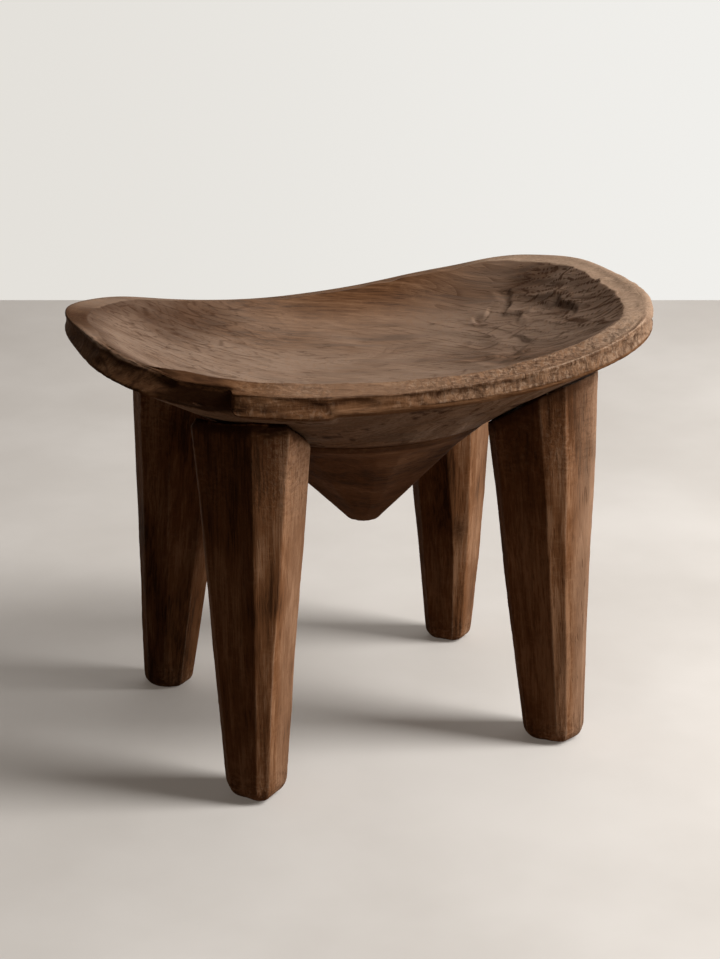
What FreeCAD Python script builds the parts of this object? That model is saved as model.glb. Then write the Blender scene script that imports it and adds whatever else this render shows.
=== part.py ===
import FreeCAD, Part
import math
import os

# A hewn wooden stool: a dished oval seat with raised ends, a keel block under it and four faceted legs.
# Millimetres. +X runs along the seat, -Y faces the front and +Z is up.
# The origin is on the floor under the seat's centre.

# Seat: its plan is an oval, squarer than an ellipse, measured at the arris around the rim
seat_half_length = 255.0
seat_half_depth = 164.0
seat_squareness = 3.2

# Height of the arris: lowest at the middle of the long sides and rising to both ends, more to the right
rim_mid_height = 367.0
left_end_rise = 29.3
right_end_rise = 36.7
end_rise_power = 2.2

# Rim: an outer face below the arris and a bevelled band inside it
rim_face_height = 15.5
rim_face_flare = 2.4
rim_band_width = 18.4
rim_band_rise = 2.7

# Dish: its depth below the band's inner edge, and how flat its bottom is before the wall rises
dish_depth = 34.0
dish_fullness = 2.4

# Left end: the band is hewn off along its near side, by this share of its width
# It starts and is full at these shares of the half length, and fades across this share of the half depth
left_hewn_share = 0.85
left_hewn_start = 0.706
left_hewn_full = 0.910
left_hewn_fade = 0.67

# Chop at the front left of the rim: an upright flat cut that deepens to the right and stops at a step
# It starts and stops at these shares of the half length, and its flat is carried on past its start
chop_start = 0.870
chop_stop = 0.635
chop_depth = 9.0
chop_run_out = 0.5

# Chips in the dish, as left by an adze, each deepening along its stroke to a step
# Each has its middle, as shares of the half length and half depth, its bearing, length, width and depth
dish_chips = (
    (0.718, -0.037, -10.0, 36.0, 68.0, 5.0),
    (0.573, 0.183, -10.0, 34.0, 66.0, 3.6),
    (0.514, -0.134, 19.0, 32.0, 62.0, 3.4),
)

# Underside and keel block, which meet at a flat seam
# The insets run from the seat's arris to the block's edge at the seam
seat_block_depth = 66.0
keel_end_inset = 133.0
keel_side_inset = 52.0
keel_squareness = 2.1
keel_depth = 104.0
keel_tip_half_length = 15.0
keel_tip_half_depth = 13.0
keel_tip_rounding = 9.0

# Legs: tapered, with flat hewn facets
# Widths are across the flats, the top one at the height of the rim's middle
leg_top_width = 99.0
front_foot_width = 48.0
back_foot_width = 41.0
foot_rounding = 10.0
leg_end_inset = 125.0
leg_side_inset = 65.0
shoulder_gap = 0.2

# How far each foot stands out from the leg's top, along X and along Y, set by eye
front_left_splay_x = 10.0
front_left_splay_y = 31.0
front_right_splay_x = 19.0
front_right_splay_y = 16.0
back_left_splay_x = 25.0
back_left_splay_y = 19.0
back_right_splay_x = 13.0
back_right_splay_y = 28.0

# Facets as hewn on each leg: the direction that each one faces, in degrees from +X towards +Y
# Then its distance from the leg's centre line, as a share of half its width, up to the knee and at the top
knee_share = 0.30
facets_front_left = (
    (0.0, 1.04, 1.03),
    (45.0, 1.00, 1.00),
    (90.0, 1.00, 1.00),
    (135.0, 1.00, 1.00),
    (176.0, 1.02, 1.07),
    (222.0, 0.89, 0.65),
    (256.0, 1.05, 0.75),
    (312.0, 0.92, 1.00),
)
facets_front_right = (
    (2.0, 1.05, 1.05),
    (45.0, 1.00, 1.00),
    (90.0, 1.00, 1.00),
    (135.0, 1.00, 1.00),
    (178.0, 1.07, 1.04),
    (223.0, 0.78, 0.79),
    (256.0, 0.88, 0.80),
    (292.0, 0.86, 0.85),
    (324.0, 0.97, 1.02),
)
facets_back_left = (
    (0.0, 1.00, 1.00),
    (45.0, 1.00, 1.00),
    (90.0, 1.00, 1.00),
    (135.0, 1.03, 1.03),
    (180.0, 1.04, 1.05),
    (224.0, 1.00, 1.04),
    (262.0, 1.00, 1.00),
    (312.0, 1.00, 1.00),
)
facets_back_right = (
    (0.0, 1.02, 0.96),
    (45.0, 1.00, 1.00),
    (90.0, 1.00, 1.00),
    (135.0, 1.00, 1.00),
    (180.0, 1.06, 1.08),
    (224.0, 0.84, 1.10),
    (262.0, 0.99, 0.93),
    (312.0, 0.93, 0.79),
)

# Each leg: its side along X and along Y, its splay, the width of its foot and its facets
legs = {
    "front_left": (-1, -1, front_left_splay_x, front_left_splay_y, front_foot_width, facets_front_left),
    "front_right": (1, -1, front_right_splay_x, front_right_splay_y, front_foot_width, facets_front_right),
    "back_left": (-1, 1, back_left_splay_x, back_left_splay_y, back_foot_width, facets_back_left),
    "back_right": (1, 1, back_right_splay_x, back_right_splay_y, back_foot_width, facets_back_right),
}

# Blind tenon at each leg's top, in its socket, spread by a wedge in a saw kerf
tenon_diameter = 36.0
tenon_length = 20.0
tenon_clearance = 0.15
socket_end_clearance = 1.0
wedge_length = 15.0
wedge_thick_end = 4.0
wedge_thin_end = 1.2

# Two dowels between the seat and the keel block
dowel_diameter = 16.0
dowel_reach_in_seat = 22.0
dowel_reach_in_keel = 24.0
dowel_spacing = 120.0
dowel_clearance = 0.1
dowel_end_clearance = 1.0

seam_height = rim_mid_height - seat_block_depth
keel_half_length = seat_half_length - keel_end_inset
keel_half_depth = seat_half_depth - keel_side_inset
keel_tip_height = seam_height - keel_depth

# How many band widths the blank's band runs inwards before the dish is cut, and how finely curves are drawn
band_overrun = 2.0
ring_points = 48
dish_points_along = 33
dish_points_across = 25
up = FreeCAD.Vector(0, 0, 1)


def ease(value, low, high):
    """0 below low, 1 above high and smooth between them."""
    share = min(max((value - low) / (high - low), 0.0), 1.0)
    return share * share * (3.0 - 2.0 * share)


def rim_height(x):
    """Height of the rim's arris above the floor at x."""
    rise = right_end_rise if x > 0 else left_end_rise
    return rim_mid_height + rise * abs(x / seat_half_length) ** end_rise_power


def oval_radius(x, y, half_length, half_depth, squareness):
    """1 on the oval |x/a|^n + |y/b|^n = 1, 0 at its centre."""
    return (abs(x / half_length) ** squareness + abs(y / half_depth) ** squareness) ** (1.0 / squareness)


def oval_points(half_length, half_depth, squareness, height):
    """Points on an oval plan, with height(x) above the floor."""
    points = []
    for step in range(ring_points):
        turn = 2.0 * math.pi * step / ring_points
        x = half_length * math.cos(turn)
        y = half_depth * math.sin(turn)
        reach = 1.0 / oval_radius(x, y, half_length, half_depth, squareness)
        points.append(FreeCAD.Vector(x * reach, y * reach, height(x * reach)))
    return points


def ring(points):
    """Closed smooth wire through the points."""
    curve = Part.BSplineCurve()
    curve.interpolate(Points=points, PeriodicFlag=True)
    return Part.Wire([curve.toShape()])


def seat_points(offset, rise):
    """Points round the seat, offset outwards from the rim's oval and raised above it."""
    return oval_points(
        seat_half_length + offset,
        seat_half_depth + offset,
        seat_squareness,
        lambda x: rim_height(x) + rise,
    )


def seat_ring(offset, rise):
    """Wire round the seat, offset outwards from the rim's oval and raised above it."""
    return ring(seat_points(offset, rise))


def hewn_share(x, y):
    """Share of the band's width that is hewn off at a point of the rim."""
    along = ease(-x / seat_half_length, left_hewn_start, left_hewn_full)
    across = ease(-y / seat_half_depth, -left_hewn_fade, left_hewn_fade)
    return left_hewn_share * along * across


def arris_ring():
    """Wire along the arris, which lies further in on the band where the left end is hewn."""
    points = []
    for outer, inner in zip(seat_points(0.0, 0.0), seat_points(-rim_band_width, rim_band_rise)):
        points.append(outer + (inner - outer) * hewn_share(outer.x, outer.y))
    return ring(points)


def crown_ring(offset):
    """Level wire above the whole seat, offset outwards from the rim's oval."""
    height = rim_height(seat_half_length) + dish_depth + seat_block_depth
    half_length = seat_half_length + offset
    half_depth = seat_half_depth + offset
    return ring(oval_points(half_length, half_depth, seat_squareness, lambda x: height))


def keel_ring(half_length, half_depth, height):
    """Level wire round the keel block."""
    return ring(oval_points(half_length, half_depth, keel_squareness, lambda x: height))


def seat_blank():
    """Seat before the dish is hollowed: underside, rim face, and the band carried inwards to a tall crown."""
    rings = [
        keel_ring(keel_half_length, keel_half_depth, seam_height),
        seat_ring(rim_face_flare, -rim_face_height),
        arris_ring(),
        seat_ring(-band_overrun * rim_band_width, band_overrun * rim_band_rise),
        crown_ring(-band_overrun * rim_band_width),
    ]
    return Part.makeLoft(rings, True, True)


def shoulder_cutter():
    """All that lies above the underside, carried on outwards from the rim's lower edge."""
    rings = [
        keel_ring(keel_half_length, keel_half_depth, seam_height),
        seat_ring(rim_face_flare, -rim_face_height),
        seat_ring(leg_top_width, -rim_face_height),
        crown_ring(leg_top_width),
    ]
    return Part.makeLoft(rings, True, True).translated(up * -shoulder_gap)


def dish_height(x, y):
    """Height of the dish's surface, before its chips."""
    inner_half_length = seat_half_length - rim_band_width
    inner_half_depth = seat_half_depth - rim_band_width
    radius = oval_radius(x, y, inner_half_length, inner_half_depth, seat_squareness)
    return rim_height(x) + rim_band_rise + dish_depth * (radius ** dish_fullness - 1.0)


def dish_cutter():
    """All that lies above the dish's surface."""
    half_along = seat_half_length + rim_band_width
    half_across = seat_half_depth + rim_band_width
    rows = []
    for i in range(dish_points_along):
        x = half_along * (2.0 * i / (dish_points_along - 1) - 1.0)
        row = []
        for j in range(dish_points_across):
            y = half_across * (2.0 * j / (dish_points_across - 1) - 1.0)
            row.append(FreeCAD.Vector(x, y, dish_height(x, y)))
        rows.append(row)
    surface = Part.BSplineSurface()
    surface.interpolate(rows)
    return surface.toShape().extrude(up * (2.0 * rim_mid_height))


def chip_cutter(share_x, share_y, bearing, length, width, depth):
    """Block whose floor runs from the dish's surface down to depth below it, where it stops at a step."""
    turn = math.radians(bearing)
    along = FreeCAD.Vector(math.cos(turn), math.sin(turn), 0)
    across = up.cross(along)
    middle = FreeCAD.Vector(share_x * seat_half_length, share_y * seat_half_depth, 0)
    start = middle - along * (0.5 * length)
    stop = middle + along * (0.5 * length)
    start.z = dish_height(start.x, start.y)
    stop.z = dish_height(stop.x, stop.y) - depth
    profile = polygon([start, stop, stop + up * dish_depth, start + up * dish_depth])
    return Part.Face(profile).extrude(across * width).translated(across * (-0.5 * width))


def arris_depth(x):
    """Distance of the rim's oval from the seat's long middle line at x."""
    return seat_half_depth * (1.0 - abs(x / seat_half_length) ** seat_squareness) ** (1.0 / seat_squareness)


def chop_cutter():
    """All that the chop takes off the rim, its flat carried on past its start so that it runs out."""
    start_x = -chop_start * seat_half_length
    stop_x = -chop_stop * seat_half_length
    start = FreeCAD.Vector(start_x, -arris_depth(start_x), 0)
    stop = FreeCAD.Vector(stop_x, chop_depth - arris_depth(stop_x), 0)
    before = start - (stop - start) * chop_run_out
    outside = -seat_half_depth - rim_band_width
    corners = [before, stop, FreeCAD.Vector(stop_x, outside, 0), FreeCAD.Vector(before.x, outside, 0)]
    return Part.Face(polygon(corners)).extrude(up * (2.0 * rim_mid_height))


def keel_blank():
    """Keel block, from the seam down to its blunt rounded tip."""
    rings = [
        keel_ring(keel_tip_half_length, keel_tip_half_depth, keel_tip_height),
        keel_ring(keel_half_length, keel_half_depth, seam_height),
    ]
    block = Part.makeLoft(rings, True, True)
    tip_edges = [edge for edge in block.Edges if edge.BoundBox.ZMax < keel_tip_height + keel_tip_rounding]
    return block.makeFillet(keel_tip_rounding, tip_edges)


def facet_corners(facets, column, half_width, centre):
    """Corners of the polygon whose sides face the facets' directions, each at its own share of half_width."""
    corners = []
    for index, facet in enumerate(facets):
        following = facets[(index + 1) % len(facets)]
        first = math.radians(facet[0])
        second = math.radians(following[0])
        first_reach = half_width * facet[column]
        second_reach = half_width * following[column]
        x = first_reach * math.sin(second) - second_reach * math.sin(first)
        y = second_reach * math.cos(first) - first_reach * math.cos(second)
        corners.append(centre + FreeCAD.Vector(x, y, 0) / math.sin(second - first))
    return corners


def polygon(points):
    """Closed wire through the points, in order."""
    return Part.makePolygon(points + points[:1])


def leg_blank(foot, top, foot_width, facets):
    """Tapered faceted post from the floor to the height of the rim's middle, its foot rounded."""
    knee = foot + (top - foot) * knee_share
    knee_width = foot_width + (leg_top_width - foot_width) * knee_share
    rings = [
        facet_corners(facets, 1, 0.5 * foot_width, foot),
        facet_corners(facets, 1, 0.5 * knee_width, knee),
        facet_corners(facets, 2, 0.5 * leg_top_width, top),
    ]
    post = Part.makeLoft([polygon(corners) for corners in rings], True, True)
    foot_edges = [edge for edge in post.Edges if edge.BoundBox.ZMax < foot_rounding]
    return post.makeFillet(foot_rounding, foot_edges)


def wedge_block(tip, axis):
    """Tapered block across the tenon's end at tip, thick there and thin at its lower end."""
    across = FreeCAD.Vector(0, 1, 0)
    along = across.cross(axis).normalize()
    across = axis.cross(along)
    base = tip - axis * wedge_length
    reach = across * tenon_diameter
    corners = [
        tip - reach + along * (0.5 * wedge_thick_end),
        tip - reach - along * (0.5 * wedge_thick_end),
        base - reach - along * (0.5 * wedge_thin_end),
        base - reach + along * (0.5 * wedge_thin_end),
    ]
    return Part.Face(polygon(corners)).extrude(reach * 2.0)


def save(node, shape):
    """Writes one piece and reports its volume."""
    shape.exportStep("parts/" + node + ".step")
    print(node, "valid", shape.isValid(), "solids", len(shape.Solids), "cm3", round(shape.Volume / 1000.0, 1))


os.makedirs("parts", exist_ok=True)
seat = seat_blank().cut(dish_cutter()).cut(chop_cutter())
for chip in dish_chips:
    seat = seat.cut(chip_cutter(*chip))
above_underside = shoulder_cutter()
keel = keel_blank()

for name, (side_x, side_y, splay_x, splay_y, foot_width, facets) in legs.items():
    top = FreeCAD.Vector(
        side_x * (seat_half_length - leg_end_inset),
        side_y * (seat_half_depth - leg_side_inset),
        rim_mid_height,
    )
    foot = FreeCAD.Vector(top.x + side_x * splay_x, top.y + side_y * splay_y, 0)
    axis = (top - foot).normalize()

    # The leg's axis meets the underside here: the tenon is measured from it
    entry_height = Part.makeLine(foot, top).cut(above_underside).BoundBox.ZMax
    entry = foot + axis * (entry_height / axis.z)
    tip = entry + axis * tenon_length
    root = entry - axis * tenon_length

    tenon = Part.makeCylinder(0.5 * tenon_diameter, 2.0 * tenon_length, root, axis)
    socket = Part.makeCylinder(
        0.5 * tenon_diameter + tenon_clearance,
        2.0 * tenon_length + socket_end_clearance,
        root,
        axis,
    )
    seat = seat.cut(socket)
    kerf = wedge_block(tip, axis)
    leg = leg_blank(foot, top, foot_width, facets).cut(above_underside).fuse(tenon)
    save("wedge_" + name, kerf.common(tenon))
    save("leg_" + name, leg.cut(kerf).removeSplitter())

for name, side in (("left", -1), ("right", 1)):
    low = FreeCAD.Vector(side * 0.5 * dowel_spacing, 0, seam_height - dowel_reach_in_keel)
    length = dowel_reach_in_seat + dowel_reach_in_keel
    hole = Part.makeCylinder(
        0.5 * dowel_diameter + dowel_clearance,
        length + 2.0 * dowel_end_clearance,
        low - up * dowel_end_clearance,
        up,
    )
    seat = seat.cut(hole)
    keel = keel.cut(hole)
    save("keel_dowel_" + name, Part.makeCylinder(0.5 * dowel_diameter, length, low, up))

save("seat", seat)
save("keel_block", keel)
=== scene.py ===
# %% [markdown]
# This lesson dresses a hewn wooden stool: a dished oval seat with raised ends, a cone-like keel block under
# it and four faceted legs, stained dark brown and worn pale along the rim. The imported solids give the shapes
# and the joints. Here each visible piece gets a finer skin with its tool marks, and a wood finish.

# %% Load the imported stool
import math
from collections import namedtuple

import bpy
import numpy as np
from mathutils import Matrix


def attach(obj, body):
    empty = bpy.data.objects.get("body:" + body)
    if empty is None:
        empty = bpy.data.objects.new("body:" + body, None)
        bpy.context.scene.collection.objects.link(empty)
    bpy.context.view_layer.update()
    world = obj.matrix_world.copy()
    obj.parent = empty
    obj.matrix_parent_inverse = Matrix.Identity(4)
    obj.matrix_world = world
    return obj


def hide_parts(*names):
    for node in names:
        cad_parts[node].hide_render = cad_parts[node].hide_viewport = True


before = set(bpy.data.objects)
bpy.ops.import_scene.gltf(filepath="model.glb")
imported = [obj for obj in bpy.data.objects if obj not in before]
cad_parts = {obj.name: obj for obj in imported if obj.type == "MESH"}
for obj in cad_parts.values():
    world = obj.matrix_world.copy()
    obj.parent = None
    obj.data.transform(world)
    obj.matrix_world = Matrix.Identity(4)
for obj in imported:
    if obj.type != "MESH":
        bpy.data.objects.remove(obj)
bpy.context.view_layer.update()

# %% [markdown]
# The skins have to sit where the solids are, so the lesson repeats the stool's measures in metres. The
# seat's plan is an oval squarer than an ellipse, and the rim is lowest at the middle of the long sides.
# Heights could be read off the solids' meshes, but formulas are smooth and answer for any point.

# %% Measures of the seat and its rim
seat_half_length, seat_half_depth, seat_squareness = 0.255, 0.164, 3.2
rim_mid_height, left_end_rise, right_end_rise, end_rise_power = 0.367, 0.0293, 0.0367, 2.2
rim_face_height, rim_face_flare = 0.0155, 0.0024
rim_band_width, rim_band_rise = 0.0184, 0.0027
dish_depth, dish_fullness = 0.034, 2.4
seam_height = 0.301
keel_half_length, keel_half_depth, keel_squareness = 0.122, 0.112, 2.1


def rim_height(x):
    """Height of the arris: that of the middle plus a rise growing as |x / half length| to a power."""
    rise = np.where(x > 0, right_end_rise, left_end_rise)
    return rim_mid_height + rise * np.abs(x / seat_half_length) ** end_rise_power


def oval_radius(x, y, half_length, half_depth, squareness):
    """1 on the oval |x/a|^n + |y/b|^n = 1 and 0 at its centre."""
    return (np.abs(x / half_length) ** squareness + np.abs(y / half_depth) ** squareness) ** (1 / squareness)


def seat_radius(x, y, inset):
    """1 on the seat's oval drawn in by an inset, and 0 at its centre."""
    return oval_radius(x, y, seat_half_length - inset, seat_half_depth - inset, seat_squareness)


def seat_ring(turn, inset):
    """Points of the seat's oval drawn in by an inset: an ellipse's, pushed along their rays onto the oval."""
    x = (seat_half_length - inset) * np.cos(turn)
    y = (seat_half_depth - inset) * np.sin(turn)
    reach = 1 / seat_radius(x, y, inset)
    return x * reach, y * reach


def underside(x, y):
    """Height under the seat: straight along each ray, from the keel's edge to the rim's lower edge."""
    near = np.maximum(oval_radius(x, y, keel_half_length, keel_half_depth, keel_squareness), 1)
    far = np.minimum(seat_radius(x, y, -rim_face_flare), 0.999999)
    share = np.clip(far * (near - 1) / np.maximum(near - far, 1e-6), 0, 1)
    return seam_height + share * (rim_height(x) - rim_face_height - seam_height)


print("rim from", rim_mid_height, "to", float(rim_height(seat_half_length)))

# %% [markdown]
# An adze and a gouge leave shallow bowls that meet in sharp ridges. Sculpted by hand they would never be the
# same twice, so they are worked out: each cell of a grid holds one bowl, thrown a little off its middle, and
# at every point the deepest bowl wins. Smooth noise bends what would be too regular.

# %% Tool marks and noise
def dice(i, j, seed):
    """A number from 0 to 1 for each pair of whole numbers: what is left after the point of a large sine."""
    large = np.sin(i * 12.9898 + j * 78.233 + seed * 37.719) * 43758.5453
    return large - np.floor(large)


def ease(value, low, high):
    """0 below low, 1 above high, and 3t^2 - 2t^3 between them."""
    t = np.clip((value - low) / (high - low), 0, 1)
    return t * t * (3 - 2 * t)


def between(value, low, low_full, high_full, high):
    """1 from low_full to high_full, 0 below low and above high, and eased on the way."""
    return ease(value, low, low_full) * (1 - ease(value, high_full, high))


def hump(value, middle, width):
    """A smooth hill exp(-t^2), where t is the distance from its middle counted in widths."""
    return np.exp(-((value - middle) / width) ** 2)


def drift(u, v, seed):
    """Smooth noise from -1 to 1: dice at the corners of each unit square, blended by ease both ways."""
    i, j = np.floor(u), np.floor(v)
    s, t = ease(u - i, 0, 1), ease(v - j, 0, 1)
    low = dice(i, j, seed) * (1 - s) + dice(i + 1, j, seed) * s
    high = dice(i, j + 1, seed) * (1 - s) + dice(i + 1, j + 1, seed) * s
    return 2 * (low * (1 - t) + high * t) - 1


def cuts(u, v, seed, loose=0.6, stop=1, around=0):
    """Depth from 0 to 1 under a field of cuts, and the lead of the deepest bowl over the next, 0 on ridges.
    A bowl, one to each unit cell, is its own depth less the squared distance from its thrown centre, which
    counts times stop at its end. The deepest wins. With around, the cells repeat after that many along u."""
    deepest = np.full(np.broadcast(u, v).shape, -9.0)
    second = deepest.copy()
    for step_u in (-1, 0, 1):
        for step_v in (-1, 0, 1):
            i, j = np.floor(u) + step_u, np.floor(v) + step_v
            named = np.mod(i, around) if around else i
            along = u - i - 0.5 - loose * (dice(named, j, seed) - 0.5) - 0.5 * np.mod(j, 2) * (not around)
            across = v - j - 0.5 - loose * (dice(named, j, seed + 1) - 0.5)
            along = np.where(along > 0, along * stop, along)
            depth = 0.75 + 0.25 * dice(named, j, seed + 2) - along * along - across * across
            second = np.maximum(second, np.minimum(deepest, depth))
            deepest = np.maximum(deepest, depth)
    return np.clip((deepest - 0.25) / 0.75, 0, 1), deepest - second


print("across two bowls", cuts(np.linspace(0, 2, 5), 0.5, 3)[0].round(2))

# %% [markdown]
# Every skin is a stack of closed rings, from a point at the top to a point at the bottom. Blender could loft
# or spin such a thing, but a grid of numbers is simpler to check: rings become vertices, neighbours become
# quads, and the end points become fans. Values painted per vertex, such as wear, go in as attributes.

# %% A closed skin from a stack of rings
def flatten(values):
    """Values of rings in one row: the first point once, the rings between, and the last point once."""
    return np.concatenate([values[:1, 0], values[1:-1].reshape(-1, *values.shape[2:]), values[-1:, 0]])


def add_object(name, data):
    """A new object in the scene."""
    thing = bpy.data.objects.new(name, data)
    bpy.context.scene.collection.objects.link(thing)
    return thing


def close_skin(name, rows, paint):
    """Mesh of rings rows[r, c] that turn left seen from above. The first and last are single points."""
    count, columns = rows.shape[:2]
    points = flatten(rows)
    c = np.arange(columns)
    after = (c + 1) % columns
    start = 1 + np.arange(count - 3)[:, None] * columns
    quads = np.stack([start + c, start + columns + c, start + columns + after, start + after], axis=-1)
    last = len(points) - 1
    top = np.stack([np.zeros_like(c), 1 + c, 1 + after], axis=-1)
    bottom = np.stack([last - columns + c, np.full_like(c, last), last - columns + after], axis=-1)
    mesh = bpy.data.meshes.new(name)
    mesh.from_pydata(points.tolist(), [], quads.reshape(-1, 4).tolist() + top.tolist() + bottom.tolist())
    mesh.shade_smooth()
    for title, values in paint.items():
        vector = np.ndim(values) == 3
        flat = flatten(np.broadcast_to(values, rows.shape if vector else rows.shape[:2]))
        layer = mesh.attributes.new(title, "FLOAT_VECTOR" if vector else "FLOAT", "POINT")
        layer.data.foreach_set("vector" if vector else "value", flat.astype(np.float32).ravel())
    mesh.update()
    print(name, "triangles", 2 * columns * (len(quads) + 1))
    return add_object(name, mesh)


def stack(x, y, z):
    """Points from their three coordinates."""
    return np.stack(np.broadcast_arrays(x, y, z), axis=-1)


def line(start, end, shares):
    """Rings on straight lines from start to end at the given shares of the way."""
    return start + (end - start) * np.asarray(shares, float)[:, None, None]


def bend(start, corner, end, count):
    """Rings round a corner: the quadratic curve (1-t)^2 start + 2t(1-t) corner + t^2 end."""
    t = np.linspace(0, 1, count)[:, None, None]
    return (1 - t) ** 2 * start + 2 * t * (1 - t) * corner + t * t * end


def towards(corner, other, distance):
    """The point at a distance from a corner on the way to another point, and no further than 0.45 of it."""
    span = np.linalg.norm(other - corner, axis=-1, keepdims=True)
    return corner + (other - corner) * np.minimum(np.reshape(distance, (-1, 1)) / span, 0.45)


def inside(count):
    """Shares strictly between 0 and 1."""
    return np.arange(1, count + 1) / (count + 1)


print("shares of the way", inside(3))

# %% [markdown]
# The dish is hollowed with different tools, and all the strokes slant from the far left to the near right.
# On the right wall a gouge left short flutes, next to them an adze left blocky chips, the near floor has
# long shallow cuts and the left fine strokes. Each kind is a field of cuts in its own part, and the few
# chips that the eye goes to are placed one by one.

# %% Tool marks in the dish
def slanting(x, y, degrees, length, width):
    """Coordinates along and across a bearing, counted in lengths and widths."""
    turn = math.radians(degrees)
    along = x * math.cos(turn) + y * math.sin(turn)
    across = y * math.cos(turn) - x * math.sin(turn)
    return along / length, across / width


def dish_bowl(x, y):
    """Height of the dish before its tool marks: the rim's, lowered by a bowl that is flat in the middle.
    The bowl is narrower by broad at the near right, where the band around it is wider."""
    broad = 0.006 * ease(x, 0.02, 0.17) * (1 - ease(y, 0.04, 0.11))
    radius = seat_radius(x, y, rim_band_width + broad)
    return rim_height(x) + rim_band_rise + dish_depth * (radius ** dish_fullness - 1)


# Chips placed one by one: the middle, the bearing of the stroke, its length, width and depth where it stops
hand_chips = [
    (0.183, -0.006, -10, 0.036, 0.068, 0.004),
    (0.146, 0.03, -10, 0.034, 0.066, 0.0024),
    (0.131, -0.022, 19, 0.032, 0.062, 0.0022),
    (0.113, -0.046, 25, 0.03, 0.056, 0.0016),
    (0.166, 0.074, 65, 0.022, 0.024, 0.002),
    (0.04, 0.028, 27, 0.02, 0.04, 0.0008),
]
darkest_stop = 0.006


def hand_cut(x, y):
    """Depth of the listed chips, and how near the foot of a stop is. A chip's floor is a flat from the bowl's
    surface at its start to its depth below it at its stop. The deepest chip wins."""
    surface = dish_bowl(x, y)
    deepest = np.zeros(np.broadcast(x, y).shape)
    stops = deepest.copy()
    for middle_x, middle_y, degrees, length, width, depth in hand_chips:
        turn = math.radians(degrees)
        reach_x, reach_y = 0.5 * length * math.cos(turn), 0.5 * length * math.sin(turn)
        start_z = dish_bowl(middle_x - reach_x, middle_y - reach_y)
        stop_z = dish_bowl(middle_x + reach_x, middle_y + reach_y) - depth
        along, across = slanting(x - middle_x, y - middle_y, degrees, 0.5 * length, 0.5 * width)
        ragged = along + 0.34 * drift(across * 2.5, along, middle_y * 900)
        ragged = ragged + 0.16 * drift(across * 7, along, 8)
        across = across + 0.22 * drift(along * 2.5, across, middle_x * 800)
        aside = np.abs(across)
        within = (1 - ease(aside, 0.7, 1)) * (1 - ease(ragged, 0.9, 1.04)) * ease(along, -1.1, -0.9)
        floor_z = start_z + (stop_z - start_z) * 0.5 * (along + 1)
        deepest = np.maximum(deepest, np.clip(surface - floor_z, 0, 1.2 * depth) * within)
        foot = between(ragged, 0.8, 0.94, 1, 1.1) * (1 - ease(aside, 0.6, 1))
        foot = foot * ease(drift(across * 3, along, middle_x * 700), -0.6, 0.5)
        stops = np.maximum(stops, foot * depth / darkest_stop)
    return deepest, np.minimum(stops, 1)


def dish_marks(x, y):
    """Depth of the marks, the painted shade in their hollows, and the painted shade near a ridge between two
    of them. Each kind of cut is multiplied by the share of its own region."""
    bent_x = x + 0.008 * drift(x / 0.045, y / 0.045, 5) + 0.0025 * drift(x / 0.017, y / 0.017, 6)
    bent_y = y + 0.008 * drift(x / 0.045, y / 0.045, 15) + 0.0025 * drift(x / 0.017, y / 0.017, 16)
    patchy = 0.25 + 0.75 * ease(drift(x / 0.05, y / 0.042, 17), -0.4, 0.4)
    wall = ease(x, 0.168, 0.196) * between(y, -0.125, -0.085, 0.055, 0.1)
    hewn = between(x, 0.04, 0.12, 0.185, 0.205) * between(y, -0.06, -0.02, 0.08, 0.12) * patchy
    near = between(x, -0.03, 0.05, 0.18, 0.205) * (1 - ease(y, -0.02, 0.02))
    left = between(x, -0.225, -0.195, -0.09, 0)
    # Each field: its region, bearing, length, width, seed, looseness and stop, then the depth of its cuts, the
    # painted shade in their hollows and the painted shade along their ridges
    fields = [
        (wall, -45, 0.04, 0.009, 11, 0.9, 1.6, 0.0021, 0.32, 1.1),
        (hewn, -58, 0.05, 0.015, 23, 0.95, 2, 0.0016, 0.22, 0.4),
        (near, -58, 0.08, 0.014, 31, 0.9, 2, 0.0013, 0.16, 0.45),
        (left, -30, 0.046, 0.0098, 41, 0.95, 1.8, 0.0013, 0.2, 0.45),
    ]
    by_hand, stops = hand_cut(x, y)
    along, across = slanting(bent_x, bent_y, -36, 0.04, 0.01)
    uneven = drift(along, across, 57) + 0.5 * drift(along * 2.1, across * 2.1, 58)
    depth = by_hand + 0.0004 * (1 + drift(x / 0.06, y / 0.035, 51)) + 0.0005 * uneven
    # Painted shade where the uneven surface lies deeper, and a painted dark line at the foot of each chip's
    # stop
    shade, ridge = 0.16 * np.clip(uneven, 0, 1), 0.18 * stops
    calm = 1 - 0.8 * ease(seat_radius(x, y, rim_band_width), 0.86, 0.97)
    for region, degrees, length, width, seed, loose, stop, deep, dark, drawn in fields:
        bowl, lead = cuts(*slanting(bent_x, bent_y, degrees, length, width), seed, loose, stop)
        depth = depth + deep * (bowl - 0.42) * region * calm
        shade = shade + dark * bowl * region
        ridge = np.maximum(ridge, drawn * region * (1 - ease(lead, 0.02, 0.15)))
    return depth, shade, ridge


def dish_height(x, y):
    """Height in the dish: the bowl's, less the tool marks."""
    return dish_bowl(x, y) - dish_marks(x, y)[0]


print("middle of the dish", round(float(dish_height(0, 0)), 4))

# %% [markdown]
# Around the seat run a bevelled band, an arris, an outer face and a lower edge, worked out for one ring of
# columns spaced evenly along the arris. The band's inner edge isn't drawn: it is where band and dish meet,
# found by halving the interval, so the gouge strokes nick it as they do on real wood.

# %% Lines round the seat
columns, quarter = 620, 2000
fine_turns = np.linspace(0, 2 * np.pi, 4 * quarter + 1)
fine_x, fine_y = seat_ring(fine_turns, 0)
walked = np.concatenate([[0], np.cumsum(np.hypot(np.diff(fine_x), np.diff(fine_y)))])
lap = np.arange(columns) / columns
turns = np.interp(lap * walked[-1], walked, fine_turns)

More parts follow.
